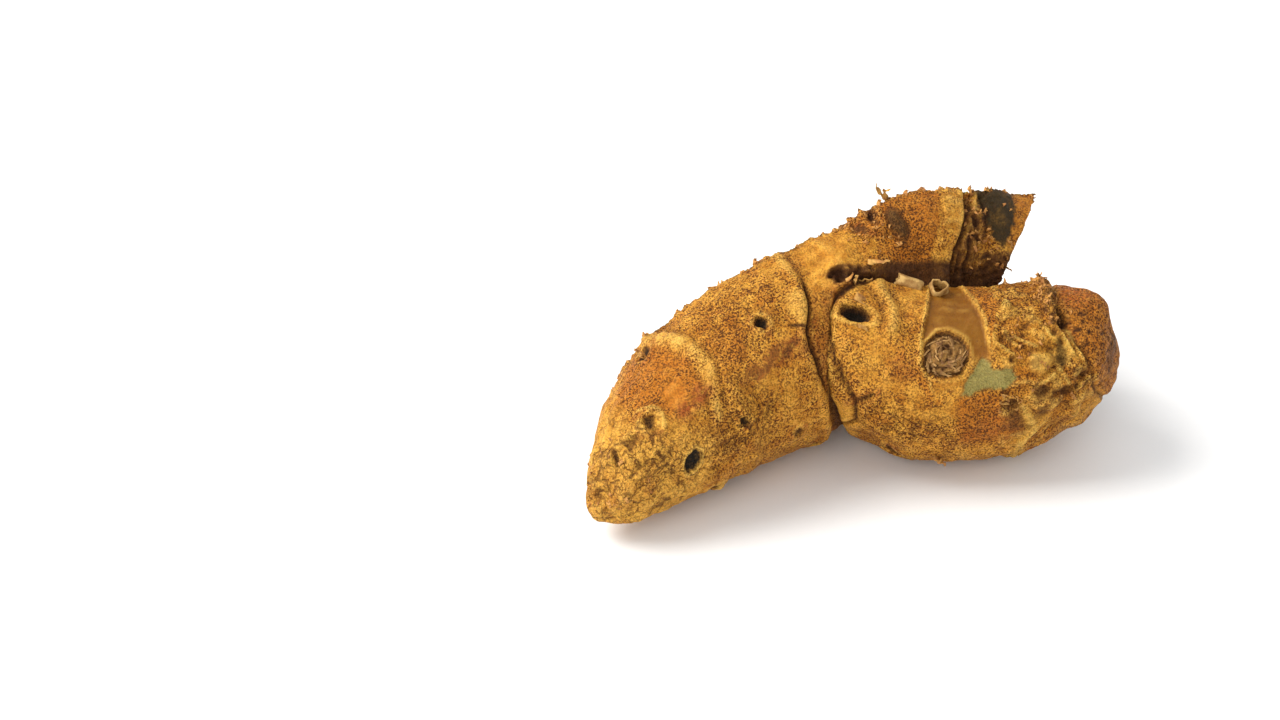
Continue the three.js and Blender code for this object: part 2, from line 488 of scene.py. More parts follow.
# %% Far end
fold_phase = past_far * 2 * math.pi / 2.1 + 6.0 * wobble + 3.0 * wrinkles + 2.0 * lumps
folds = np.sin(fold_phase)
among_folds = on_finger * ramp(past_far, 2.0, 2.8) * ramp(finger_along, 84, 82)
among_folds *= ramp(finger_around, -25, 10)
creased = 0.32 * folds + 0.6 * (fine_fibre - 0.3) + 0.4 * wrinkles
relief += among_folds * ramp(past_far, 7.5, 5.5) * creased
low_folds = among_folds * ramp(finger_around, 8, 24) * ramp(past_far, 7.5, 5.8)
tint("bark", low_folds * (0.9 - 0.35 * ramp(folds, 0.3, 0.9)))
tint("crack", low_folds * ramp(folds + wrinkles, -0.2, -0.9))
tint("red", low_folds * 0.5 * ramp(wrinkles, 0.0, 0.4))
fold_tops = ramp(folds, 0.55, 0.95) * ramp(past_far, 5.5, 4) * ramp(finger_around, 44, 28)
tint("ring", 0.6 * among_folds * fold_tops)
crumbs = on_finger * ramp(finger_along, 72, 76) * ramp(finger_around, 46, 54)
relief += crumbs * 0.7 * (fine_fibre - 0.35)
tint("bark", crumbs)
tint("crack", crumbs * ramp(fine_fibre, 0.5, 0.25))
MOULD = [
    (75.4, 4), (78.5, 1), (81.8, 0), (81.2, 16), (80.6, 30), (79.6, 44), (78.2, 52), (76.6, 44),
    (75.6, 28),
]
mouldy = within("finger", MOULD) + 0.5 * wrinkles + 0.35 * jitter
tint("mould", ramp(mouldy, -0.35, 0.25))
relief += 0.18 * ramp(mouldy, -0.3, 0.4) * (fine_fibre - 0.5)
tint("orange", on_finger * ramp(finger_along, 79.5, 81) * 0.7)
tint("orange", on_finger * ramp(past_far, -12, -8.5) * ramp(past_far, -1.7, -2.3) * 0.95)
gap_edge = np.interp(finger_along, (50, 58, 62, 68, 72), (30, 33, 42, 53, 58))
in_gap = on_finger * ramp(finger_along, 48, 51) * ramp(finger_around - gap_edge, -1, 5)
in_gap *= ramp(finger_around, 130, 100)
tint("bark", in_gap)
tint("crack", in_gap * (0.55 + 0.5 * wrinkles))
relief += in_gap * 0.4 * (fine_fibre - 0.4)
report("far end")

# %% [markdown]
# ## The crevice and the foot of the lobe
# Where the lobe leaves the finger the two skins press together into a crack, darkened with painted shade,
# which opens into a hole full of papery bits on top. The foot of the lobe repeats the crack as close
# concentric creases, and a soft curved ridge stands behind its open root scar.

# %% Crevice and foot creases
relief -= 0.9 * bell(lobe_lead, 0.035)
# painted shade: the crack tint darkens the crevice where the two skins meet
tint("crack", crevice * 1.1)
strip = on_finger * bell(lobe_lead, 0.16) * ramp(past_middle, -0.2, 0.4)
tint("red", 0.7 * strip)
tint("bark", 0.45 * strip * ramp(wrinkles, -0.2, 0.3))
hole = patch("finger", 50.8, 31.5, 3.8, 1.7, 22) + 0.7 * wrinkles
relief -= 1.5 * ramp(hole, 1.15, 0.4)
tint("crack", ramp(hole, 1.1, 0.7))
tint("bark", ramp(hole, 1.5, 1.0))
FOOT_CREASE = [
    (-180, 3), (-90, 1), (0, 2.4), (23, 3.4), (32, 4.1), (44, 4.5), (64, 5.9), (80, 7.5), (92, 9.1),
    (110, 9.8), (150, 6),
]
past_foot = beyond("lobe", FOOT_CREASE) + 0.12 * wobble
along_foot = ramp(lobe_around, -10, 12)
relief += on_lobe * along_foot * (0.30 * bell(past_foot + 1.0, 0.6) - 0.55 * bell(past_foot, 0.3)
                                  + 0.32 * bell(past_foot - 1.3, 0.9))
tint("crack", on_lobe * along_foot * bell(past_foot, 0.26) * 0.85)
tint("crack", on_lobe * along_foot * bell(past_foot + 1.5, 0.16) * 0.35 * ramp(wobble, -0.2, 0.3))
EAR = [(-180, 7), (-20, 6.6), (-4, 7.1), (8, 7.9), (19, 9.8), (32, 10.6), (45, 10.6), (60, 9)]
past_ear = beyond("lobe", EAR) + 0.15 * wobble
ear = on_lobe * ramp(lobe_around, -22, -8) * ramp(lobe_around, 46, 34)
relief += ear * (0.75 * bell(past_ear, 1.0) - 0.3 * bell(past_ear + 1.5, 0.5))
tint("ring", 0.5 * ear * bell(past_ear - 0.1, 0.8))
tint("crack", 0.5 * ear * bell(past_ear + 1.2, 0.16) * ramp(wobble, -0.1, 0.3))
slit = patch("lobe", 10.0, 87, 1.7, 0.5, -52) + 0.1 * jitter
relief -= 0.45 * ramp(slit, 1.3, 0.3)
tint("crack", 0.75 * ramp(slit, 1.15, 0.5))
tint("red", 0.8 * bell(slit - 1.35, 0.35))
report("crevice and creases")

# %% [markdown]
# ## Root scars
# Roots leave round holes when they dry and fall: a pit with a raised corky rim, dark inside. Each is
# placed by its limb, its distance along it and its angle around it. The last ones are on the sides that
# face away.

# %% Root scars
ROOT_SCARS = [
    # limb, along, around, radius, depth, rim, darkness
    ("finger", 10.8, 15, 1.00, 0.45, 0.42, 0.55),
    ("finger", 21.1, 70, 0.65, 0.60, 0.12, 0.8),
    ("finger", 32.6, 25, 0.95, 1.10, 0.32, 0.9),
    ("finger", 31.1, 106, 0.85, 0.35, 0.25, 0.5),
    ("finger", 20.0, -32, 1.00, 0.55, 0.35, 0.8),
    ("finger", 15.0, 128, 1.10, 0.55, 0.25, 0.9),
    ("finger", 38.0, 140, 1.20, 0.60, 0.30, 0.9),
    ("finger", 60.0, 118, 1.00, 0.55, 0.25, 0.9),
    ("finger", 22.0, -165, 0.90, 0.50, 0.20, 0.8),
    ("lobe", 16.0, 140, 1.20, 0.60, 0.30, 0.9),
    ("lobe", 31.0, 150, 1.00, 0.55, 0.25, 0.9),
    ("lobe", 24.0, -150, 1.30, 0.60, 0.30, 0.9),
    ("lobe", 34.0, -110, 0.90, 0.50, 0.25, 0.8),
    ("lobe", 15.0, -80, 1.10, 0.55, 0.30, 0.9),
]
for limb, along, around, radius, depth, rim, darkness in ROOT_SCARS:
    reach = patch(limb, along, around, radius, radius * 1.2) + 0.35 * wrinkles + 0.25 * jitter
    relief += rim * bell(reach - 1.4, 0.5) * (0.8 + lumps) - depth * ramp(reach, 1.15, 0.3)
    tint("scar", darkness * ramp(reach, 0.9, 0.55))
    tint("crack", 0.8 * darkness * ramp(reach, 1.1, 0.75))
    tint("ring", 0.55 * bell(reach - 1.45, 0.3) * ramp(wrinkles, -0.2, 0.2))
    tint("red", 0.7 * bell(reach - 1.6, 0.5) * ramp(wrinkles, 0.1, -0.2))
arc = patch("finger", 10.8, 15, 1.9, 2.4) + 0.15 * wrinkles
relief += 0.45 * bell(arc - 1.0, 0.18) * ramp(finger_along, 10.8, 11.6)
tint("ring", 0.8 * bell(arc - 1.0, 0.16) * ramp(finger_along, 10.8, 11.6))
scar_crack = patch("finger", 33.9, 19, 1.0, 0.18, -30)
tint("crack", ramp(scar_crack, 1.2, 0.5))

BLACK_SCAR = [(9.9, 55), (10.6, 51), (12.6, 52), (13.0, 58), (12.5, 64), (11.0, 65), (9.8, 61)]
black = within("finger", BLACK_SCAR) + 0.12 * jitter
relief += 0.3 * bell(black + 0.35, 0.35) - 0.45 * ramp(black, -0.1, 0.35)
relief += 0.2 * ramp(black, 0.5, 1.2) * jitter
tint("scar", ramp(black, -0.15, 0.15))
tint("ring", 0.8 * bell(black + 0.35, 0.25))

open_scar = patch("lobe", 6.5, 31, 1.75, 1.15, 12) + 0.2 * wrinkles + 0.1 * jitter
relief += 0.3 * bell(open_scar - 1.35, 0.35) - 2.0 * ramp(open_scar, 1.1, 0.45)
tint("crack", ramp(open_scar, 1.05, 0.8))
tint("scar", ramp(open_scar, 0.9, 0.5))
tint("ring", 0.55 * bell(open_scar - 1.4, 0.25) * ramp(lobe_around, 28, 36))
report("root scars")

# %% [markdown]
# ## The old end of the finger
# The oldest skin is the roughest: it shrank and broke into scaly plates, and corky knobs mark where
# roots stood in a cluster. A fold runs down from a scar to the tip, and below it the skin juts out in a
# corner.

# %% Old end
OLD_SKIN = [
    (-8, -75), (5, -62), (9, -30), (9.5, -6), (10.5, 22), (12.5, 42), (16, 62), (17, 78), (9, 92),
    (-8, 100),
]
old_skin = ramp(within("finger", OLD_SKIN) + 1.6 * wobble, -3.0, 3.0)
relief += old_skin * (0.06 * np.minimum(plates, 0.12) / 0.12 - 0.06 + 0.12 * lumps)
relief += old_skin * 0.24 * rows("finger", 6.0, 2.6, 12)
tint("scaly", old_skin)
tint("ring", 0.35 * old_skin)
tint("smooth", 0.5 * old_skin)
LOWER_FINGER = [(12, 64), (24, 62), (30, 84), (27, 98), (12, 96)]
LOWER_LOBE = [(9, 96), (13, 80), (20, 80), (22, 92), (22, 118), (10, 122)]
lower_finger = ramp(within("finger", LOWER_FINGER) + wobble, -1, 2)
lower_lobe = ramp(within("lobe", LOWER_LOBE) + wobble, -1, 2)
relief += 0.16 * (lower_finger + lower_lobe) * (np.minimum(plates, 0.3) / 0.3 - 0.6)
tint("scaly", 0.75 * np.maximum(lower_finger, lower_lobe))
# along, around, size, height
KNOBS = [(1.8, -40, 1.7, 0.9), (0.3, -64, 1.9, 1.0), (1.5, 38, 1.7, 0.9), (4.5, 62, 1.4, 0.4)]
for along, around, size, height in KNOBS:
    knob = patch("finger", along, around, size, size) + 0.35 * wrinkles
    relief += height * ramp(knob, 1.3, 0.2) * (0.55 + 0.5 * fine_fibre)
    tint("orange", 0.7 * ramp(knob, 1.2, 0.6))
    tint("bark", 0.4 * ramp(knob, 1.2, 0.5) * ramp(fine_fibre, 0.4, 0.2))
FOLD = [(9.8, 16), (8.6, 6), (7.2, -3), (5.2, -9), (3.0, -18)]
for (along, around), (next_along, next_around) in zip(FOLD, FOLD[1:]):
    middle = ((along + next_along) / 2, (around + next_around) / 2)
    heading = math.degrees(math.atan2(math.radians(next_around - around) * 9, next_along - along))
    fold = patch("finger", *middle, 1.7, 0.8, heading) + 0.15 * wrinkles
    relief += 0.30 * ramp(fold, 1.5, 0.2)
    tint("ring", 0.35 * ramp(fold, 1.3, 0.3))
fold_shadow = patch("finger", 5.0, -3, 1.9, 0.5, -38) + 0.15 * jitter
relief -= 0.6 * ramp(fold_shadow, 1.3, 0.2)
tint("crack", 0.8 * ramp(fold_shadow, 1.15, 0.4))
report("old end")

# %% [markdown]
# ## The face of the lobe
# A big dead bud sits in the middle, round and fibrous. Around it lies a smooth waxy scale, framed by
# thin pale lines where its edges grew fast to the skin. Beside the bud the cork has peeled off and the
# living skin shows pale green.

# %% Lobe face
bud = patch("lobe", 19.6, 46.5, 3.55, 3.6) + 0.12 * wrinkles
inside_bud = ramp(bud, 1.02, 0.88)
coil = np.sin(bud * 2 * math.pi * 2.6 + 3.5 * wobble + 2.0 * wrinkles)
relief += 0.25 * bell(bud - 1.15, 0.14) - 0.65 * bell(bud - 0.93, 0.12)
relief += inside_bud * (0.5 * ramp(bud, 0.9, 0.2) - 0.25 + 0.22 * coil + 0.6 * (fine_fibre - 0.4))
tint("husk", inside_bud)
tint("crack", bell(bud - 0.95, 0.09) * 0.9)
tint("crack", inside_bud * ramp(coil + 0.8 * jitter, -0.1, -0.8) * 0.9)
tint("ring", 0.5 * bell(bud - 1.15, 0.05) * ramp(lobe_along, 20, 17))

SCALE_FOOT = [
    (-180, 15), (-60, 14), (-13, 14.8), (18, 14.9), (38, 15), (55, 16.2), (63, 17.4), (73, 18.4),
    (90, 19),
]
SCALE_EDGE = [(-180, 24), (-60, 23), (-14, 24.4), (12, 25.7), (31, 26.4), (46, 26.7), (60, 27), (90, 26)]
SCALE_TIP = [
    (-180, 27), (-60, 26), (-20, 28.6), (-1, 29.9), (17, 29), (32, 27.6), (46, 27.4), (60, 27.8),
    (90, 27),
]
on_face = ramp(lobe_around, -45, -20) * ramp(lobe_around, 80, 70)
past_scale_foot = beyond("lobe", SCALE_FOOT) + 0.15 * wobble
past_scale_edge = beyond("lobe", SCALE_EDGE) + 0.15 * wobble
past_scale_tip = beyond("lobe", SCALE_TIP) + 0.25 * wobble
# distance past the line, its height and how low it runs
SCALE_LINES = [(past_scale_foot, 0.3, 75), (past_scale_edge, 0.18, 50), (past_scale_tip, 0.26, 50)]
for past, height, lowest in SCALE_LINES:
    line = on_lobe * on_face * bell(past, 0.2) * ramp(bud, 1.0, 1.15)
    line *= ramp(lobe_around, lowest, lowest - 10)
    relief += height * line
    tint("ring", 0.75 * line)
window = on_lobe * on_face * ramp(past_scale_foot, 0.2, 0.7) * ramp(past_scale_edge, -0.1, -0.6)
relief -= 0.30 * window * ramp(lobe_around, 60, 30)
tint("waxy", window * ramp(bud, 1.0, 1.2) * ramp(lobe_around, 60, 44))
before_scale = ramp(past_scale_foot, -6, -3.5) * ramp(past_scale_foot, 0, -0.3)
tint("smooth", 0.7 * on_lobe * before_scale * ramp(lobe_around, 34, 22))
scale_rim = on_lobe * on_face * ramp(past_scale_edge, 0.1, 0.5) * ramp(past_scale_tip, -0.1, -0.5)
tint("orange", 0.8 * scale_rim)
ginger = patch("lobe", 13.6, 60, 2.4, 2.4) + 0.3 * wrinkles
tint("red", 0.5 * ramp(ginger, 1.3, 0.4))

BARE = [
    (25.2, 50), (26.5, 54), (26.9, 59), (30.1, 58), (31.0, 64), (28.6, 72), (26.0, 73), (23.5, 77),
    (22.1, 78), (22.7, 68), (24.2, 58),
]
bare = within("lobe", BARE) + 0.22 * wrinkles + 0.2 * jitter
relief -= 0.28 * ramp(bare, -0.12, 0.15)
tint("bare", ramp(bare, -0.15, 0.15))
tint("crack", 0.4 * bell(bare + 0.15, 0.2))
report("lobe face")

# %% [markdown]
# ## The rough young half of the lobe
# Towards the young end the lobe stopped growing and dried: torn scale bases stand up in a fibrous ridge
# with a deep slot beside it, warts and dark hollows cover the rest, and a thin crease sets off the
# reddish end cap with its short dark dashes.

# %% Rough half of the lobe
END_CREASE = [
    (-180, 44), (-60, 42), (0, 42), (30, 41.6), (36, 41.6), (52, 42.3), (67, 42.9), (90, 44),
    (130, 44.5),
]
past_end = beyond("lobe", END_CREASE) + 0.3 * wobble
rough_half = on_lobe * ramp(past_scale_tip, 0.2, 1.5) * ramp(past_end, 0.3, -0.5)
rough_half *= ramp(lobe_around, 150, 110) * ramp(lobe_around, -100, -60)
sheets = rows("lobe", 6.0, 1.9, 13)
relief += rough_half * (0.14 * (fibre - 0.42) + 0.08 * (fine_fibre - 0.4) + 0.5 * lumps + 0.5 * sheets)
tint("scaly", 0.7 * rough_half)
tint("ring", 0.5 * rough_half * ramp(fibre + 1.4 * sheets, 0.5, 1.0))
tint("bark", 0.5 * rough_half * ramp(fibre + 1.4 * sheets, 0.15, -0.35))
tint("orange", 0.55 * rough_half * ramp(wobble, -0.3, 0.3))

torn = patch("lobe", 39.7, 2, 1.5, 7.5, 3) + 0.3 * wrinkles + 0.15 * jitter
relief += 1.2 * ramp(torn, 1.25, 0.3) * (0.75 + 0.35 * fine_fibre)
tint("orange", 0.7 * ramp(torn, 1.2, 0.8))
tint("bark", ramp(torn, 1.2, 0.8) * ramp(fine_fibre, 0.45, 0.2))
slot = patch("lobe", 41.4, 20, 0.75, 3.6, -8) + 0.1 * jitter
relief -= 1.6 * ramp(slot, 1.2, 0.4)
tint("crack", ramp(slot, 1.1, 0.7))
tint("red", 0.8 * bell(slot - 1.4, 0.4))
report("torn ridge")

# %% [markdown]
# Small things cover it: round warts, thin ridges of fibre, a crumbly spot, a smooth yellow swelling and
# hollows.

# %% Warts, strands and hollows
# warts: along, around, size, height and how pale
WARTS = [
    (32.3, 11, 1.15, 1.1, 0.9), (34.4, -6, 1.0, 0.5, 0.5), (35.8, 26, 1.1, 0.5, 0.3),
    (31.5, -22, 1.3, 0.6, 0.5), (36.8, 40, 1.0, 0.5, 0.5), (37.0, 74, 1.4, 0.5, 0.6),
    (40.9, 74, 1.2, 0.5, 0.7), (35.4, 88, 1.3, 0.5, 0.5), (40.3, 100, 1.6, 0.6, 0.4),
    (44.0, 100, 1.3, 0.5, 0.4),
]
for along, around, size, height, pale in WARTS:
    wart = patch("lobe", along, around, size, size) + 0.3 * wrinkles
    relief += height * ramp(wart, 1.3, 0.1)
    tint("ring", pale * ramp(wart, 1.1, 0.4))
# thin fibre ridges: along, around, length, width, heading
STRANDS = [
    (40.9, 50, 3.4, 0.35, 80), (42.0, 52, 4.6, 0.35, 84), (30.8, 36, 2.6, 0.3, 48),
    (33.2, 40, 2.8, 0.3, 35), (29.6, 44, 2.2, 0.28, 30), (38.0, 38, 2.6, 0.35, 60),
    (36.0, 70, 2.4, 0.35, -20), (38.5, 72, 2.5, 0.35, 70),
]
for along, around, long, wide, heading in STRANDS:
    strand = patch("lobe", along, around, long, wide, heading) + 0.25 * jitter
    relief += 0.65 * ramp(strand, 1.6, 0.3)
    tint("ring", 0.8 * ramp(strand, 1.2, 0.5))
crumbly = patch("lobe", 39.2, 56, 1.1, 2.7, 10) + 0.3 * wrinkles
relief -= 0.5 * ramp(crumbly, 1.2, 0.5) * (1.2 - fine_fibre)
tint("mould", 0.75 * ramp(crumbly, 1.1, 0.7))
yellow = patch("lobe", 35.1, 58, 2.3, 2.0, 20) + 0.25 * wrinkles
relief += 0.4 * ramp(yellow, 1.2, 0.3)
tint("ring", 0.75 * ramp(yellow, 1.0, 0.6))
tint("smooth", ramp(yellow, 1.05, 0.8))
# dark hollows: along, around, size, depth
HOLLOWS = [
    (29.4, 82, 1.2, 0.9), (34.2, 78, 1.3, 0.7), (38.3, 87, 1.3, 0.7), (42.3, 83, 0.8, 0.7),
    (42.4, 92, 0.7, 0.6), (36.3, 83, 0.7, 0.5), (33.5, 94, 0.9, 0.5), (40.6, 88, 0.6, 0.6),
    (30.5, 52, 0.6, 0.3), (38.9, 40, 0.6, 0.6),
]
for along, around, size, depth in HOLLOWS:
    hollow = patch("lobe", along, around, size, size * 0.85) + 0.35 * wrinkles + 0.2 * jitter
    relief -= 0.5 * depth * ramp(hollow, 1.3, 0.2)
    relief += 0.12 * bell(hollow - 1.5, 0.4)
    tint("crack", 0.55 * ramp(hollow, 1.05, 0.4))
    tint("bark", 0.6 * ramp(hollow, 1.5, 0.9))

report("warts and hollows")

# %% [markdown]
# The end cap past the last crease is smoother and redder, and its dark dashes run along it. The belly has an
# orange patch with a pale ring beyond it.

# %% End cap and belly
end_cap = on_lobe * ramp(past_end, 0.0, 0.8)
relief -= on_lobe * 0.5 * bell(past_end, 0.35)
tint("crack", on_lobe * bell(past_end, 0.25) * 0.55 * ramp(wobble, -0.5, 0.1))
tint("orange", end_cap * 0.9)
tint("red", end_cap * 0.75 * ramp(lobe_around, 24, 4))
low_side = ramp(lobe_around, 10, 25) * ramp(lobe_around, 150, 110)
past_cap = lobe_along + 0.03 * lobe_around + 0.8 * wobble
tint("bark", 0.75 * end_cap * low_side * ramp(past_cap, 49, 50.5))
dash = ramp(rows("lobe", 3.0, 0.75, 11), 0.20, 0.42)
tint("crack", end_cap * dash * low_side * 0.9)
relief -= 0.12 * end_cap * dash

BELLY = [(21.3, 80), (26, 76), (30.5, 84), (31.2, 108), (28, 118), (22, 116)]
belly = within("lobe", BELLY) + 0.6 * wobble + 0.3 * wrinkles
tint("orange", ramp(belly, -0.9, 0.7))
tint("red", 0.45 * ramp(belly, -0.5, 1.5) * ramp(lumps, -0.1, 0.3))
dark_belly = patch("lobe", 30.0, 96, 1.5, 3.0) + 0.35 * wrinkles
tint("bark", 0.7 * ramp(dark_belly, 1.2, 0.5))
LAST_RING = [(-180, 30), (60, 31.2), (81, 31.0), (95, 31.8), (109, 32.0), (116, 30.4), (150, 30)]
past_last = beyond("lobe", LAST_RING) + 0.2 * wobble
last_ring = on_lobe * bell(past_last, 0.75) * ramp(lobe_around, 78, 86)
relief += 0.4 * last_ring
tint("ring", 0.85 * last_ring)
report("end cap and belly")

# %% [markdown]
# ## Stains on the finger
# Iron in the soil and sun colour the cork unevenly: an orange area near the first ring with redder
# spots, dark streaks past it, and a torn orange patch with a small dead bud in the far part.

# %% Finger stains
STAIN = [(11.5, -25), (12.5, 8), (13.5, 26), (16.5, 30), (19.5, 28), (20.8, 12), (21, -30), (18, -45)]
stained = within("finger", STAIN) + 0.7 * lumps + 0.3 * wrinkles
tint("orange", 0.95 * ramp(stained, -1.3, 0.6))
calm = patch("finger", 15.8, 20, 1.6, 2.4, 30) + 0.3 * wrinkles
tint("smooth", ramp(calm, 1.2, 0.7))
SECOND_STAIN = [(23.5, 12), (25, 8), (30, 12), (29, 30), (27, 46), (24, 42), (23.4, 26)]
tint("orange", 0.6 * ramp(within("finger", SECOND_STAIN) + 0.8 * lumps, -1.2, 1.0))
SPOTS = [(18.4, 34, 1.7, 0.95), (14.7, 32, 1.5, 0.95), (16.6, 36, 0.9, 0.8), (37.5, 44, 1.2, 0.7)]
for along, around, size, strength in SPOTS:
    spot = patch("finger", along, around, size, size * 0.9) + 0.45 * wrinkles
    tint("red", strength * ramp(spot, 1.35, 0.5))
STREAKS = [
    (28.6, 49, 2.2, 0.8), (33.4, 48, 2.4, 0.9), (26.4, 46, 2.0, 0.6), (31.0, 45, 2.6, 0.7),
    (35.6, 52, 2.0, 0.6),
]
for along, around, size, strength in STREAKS:
    streak = patch("finger", along, around, size, size * 0.35, -12) + 0.5 * wrinkles
    tint("bark", 0.75 * strength * ramp(streak, 1.3, 0.3))
    tint("red", strength * ramp(streak, 1.8, 0.6))
TORN = [(54.5, -8), (56.5, 10), (57.2, 22), (59, 29), (61.5, 30), (62, 14), (61.5, -12)]
torn_patch = within("finger", TORN) + 0.5 * wrinkles
ragged_bark = ramp(torn_patch, -0.4, 0.5)
relief += ragged_bark * (1.2 * (fibre - 0.4) + 0.8 * (fine_fibre - 0.35) + 0.25)
tint("orange", ragged_bark)
tint("red", 0.7 * ragged_bark * ramp(wrinkles, -0.2, 0.3))
tint("bark", ragged_bark * ramp(fibre, 0.42, 0.2))
dark_nick = patch("finger", 60.5, 9, 0.8, 1.0) + 0.2 * jitter
relief -= 0.8 * ramp(dark_nick, 1.2, 0.4)
tint("crack", ramp(dark_nick, 1.2, 0.7))
dead_bud = patch("finger", 62.8, 22, 1.2, 2.5, 8) + 0.3 * wrinkles + 0.15 * jitter
relief += 1.0 * ramp(dead_bud, 1.25, 0.3) * (0.5 + 0.6 * fine_fibre)
tint("mould", 0.55 * ramp(dead_bud, 1.1, 0.7))
tint("bark", 0.75 * ramp(dead_bud, 1.25, 0.8))
tint("crack", 0.8 * bell(dead_bud - 1.15, 0.15))
report("finger stains")

# %% [markdown]
# ## Pulling the big shapes
# A few broad pulls give back what swept sections can't: the blunt upper corner of the lobe's young end,
# the shoulder at its foot, and the corner that the old end stands on. Each moves the points around a
# place, most in the middle and less towards its radius, as a grab brush does.

# %% Broad pulls
PULLS = [
    # centre, radius, move, all in mm
    ((39.0, 3, 28), 8, (3.1, 0, 2.7)),
    ((33.0, 3, 30), 5, (0, 0, -0.9)),
    ((42.0, -4, 17), 8, (-1.0, 0, 0)),
    ((38.0, -7, 12), 11, (-1.8, 0.6, 1.0)),
    ((-3.0, -1, 28), 7, (-1.2, 0.2, 0.9)),
    ((-39.5, -27, 1.0), 9, (-4.0, -1.8, -1.2)),
    ((0.0, -10, 4), 9, (1.5, 0.8, 1.7)),
    ((6.0, 14, 35), 12, (0, 0.4, 0.9)),
    ((38.0, 29, 27), 14, (0.9, 0.4, 2.2)),
]
shaped = plain.copy()
for centre, radius, move in PULLS:
    strength = ramp(np.linalg.norm(plain - np.array(centre), axis=1), radius, 0)
    shaped += np.outer(strength, move)
print(len(PULLS), "pulls, the largest", round(float(np.abs(shaped - plain).max()), 1), "mm")

# %% [markdown]
# The foot of the lobe swells over the finger, so the crack between them is overhung and curves round
# it.

# %% Swollen foot
FOOT_SWELL = 1.7
swollen = on_lobe * ramp(lobe_along, 11, 4) * ramp(lobe_around, 12, 45) * ramp(lobe_around, 118, 92)
shaped[:, 0] -= FOOT_SWELL * swollen
print("the foot overhangs by up to", round(float(FOOT_SWELL * swollen.max()), 1), "mm")

# %% [markdown]
# ## The knife's work
# The cut face stays flat, because a knife made it: its points go back onto the plane, with only the
# faint steps a blade leaves. The skin along its rim is tougher than the flesh and tears, so it stands
# past the plane in ragged tabs.

# %% Cut face and ragged rim
KNIFE_STEPS = 0.05
rim_band = (1 - on_cut) * ramp(skin_depth, 1.3, 0.1) * ramp(cut_facing, -0.75, -0.2)
ragged = ramp(fibre + 0.6 * jitter, 0.25, 0.8)
blade = KNIFE_STEPS * np.sin((plain @ np.array((0.35, 0.2, 1.0))) * 1.7 + 1.5 * swell)
shaped += outward * (relief * (1 - on_cut))[:, None]
flat_again = (shaped - cut_point) @ cut_looks
shaped -= np.outer(on_cut * (flat_again - blade), cut_looks)
shaped += np.outer(rim_band * (0.1 + 0.8 * ragged), cut_looks)
shaped[:, 2] = np.maximum(shaped[:, 2], 0.0)
tint("flesh", ramp(on_cut, 0.45, 0.6))
tint("rim", rim_band * ragged)
tint("crack", 0.5 * rim_band * ramp(fine_fibre, 0.45, 0.2))
mesh = rhizome.data
mesh.vertices.foreach_set("co", (shaped * MM).ravel())
mesh.update()
print("skin now reaches", np.round(shaped.min(0), 1), np.round(shaped.max(0), 1))

# %% [markdown]
# Painted shade and a painted highlight follow the shape: hollows are painted darker, as shade, and
# crests paler, as a highlight. How hollow a place is comes from the mesh itself: it is how far a point
# lies below the average of its neighbours, once for the finest relief and once after some smoothing for
# the broader one.

# %% Hollows and crests
BROAD_ROUNDS = 7
FULL_HOLLOW = {"fine": 0.05, "broad": 0.22}  # mm below the neighbours that counts as fully hollow


edges = np.empty(len(mesh.edges) * 2, int)
mesh.edges.foreach_get("vertices", edges)
edges = edges.reshape(-1, 2)
links = np.bincount(edges.ravel(), minlength=count)


def neighbour_mean(values):
    total = np.zeros_like(values)
    np.add.at(total, edges[:, 0], values[edges[:, 1]])
    np.add.at(total, edges[:, 1], values[edges[:, 0]])
    return total / links.reshape(-1, *[1] * (values.ndim - 1))


faces_now = directions(mesh)
fine_hollow = ((neighbour_mean(shaped) - shaped) * faces_now).sum(1)
smoother = shaped
for _ in range(BROAD_ROUNDS):
    smoother = neighbour_mean(smoother)
broad_hollow = ((smoother - shaped) * faces_now).sum(1)
shade_and_highlight = (fine_hollow / FULL_HOLLOW["fine"] + broad_hollow / FULL_HOLLOW["broad"]) * (1 - on_cut)
# painted shade: how deep a point lies in a hollow, which the finish darkens
tints["hollow"] = np.clip(neighbour_mean(shade_and_highlight) * 0.5, 0, 1)
# painted highlight: how far a point stands on a crest, which the finish makes paler
tints["crest_highlight"] = np.clip(-neighbour_mean(shade_and_highlight) * 0.5, 0, 1)
print("hollow", round(float(tints["hollow"].mean()), 2), "crest_highlight", round(float(tints["crest_highlight"].mean()), 2))

# %% [markdown]
# The flesh changes with its distance from the rim, so each point of the cut face gets that distance, in mm.
# Then every reading becomes an attribute of the mesh.

# %% Attributes for the material
inward = np.zeros(count)
edge_points = np.flatnonzero((on_cut > 0.2) & (on_cut < 0.8))
edge_tree = KDTree(len(edge_points))
for index in edge_points:
    edge_tree.insert(Vector(shaped[index]), int(index))
edge_tree.balance()
for index in np.flatnonzero(on_cut >= 0.5):
    inward[index] = edge_tree.find(Vector(shaped[index]))[2]
tints["depth"] = inward
tints["plates"] = plates
for name, values in tints.items():
    attribute = mesh.attributes.new(name, "FLOAT", "POINT")
    attribute.data.foreach_set("value", values.astype(np.float32))
mesh.shade_smooth()
skin_tree = BVHTree.FromPolygons([v.co for v in mesh.vertices], [p.vertices[:] for p in mesh.polygons])
print("cut face reaches", round(float(inward.max()), 1), "mm in from its rim")

# %% [markdown]
# ## Torn bits of skin
# Papery tabs, shreds and flakes stand off the surface. Each is a small strip, cut from a grid, narrowed
# to its tip and curled, then given its thickness. They are joined by place into a few pieces.

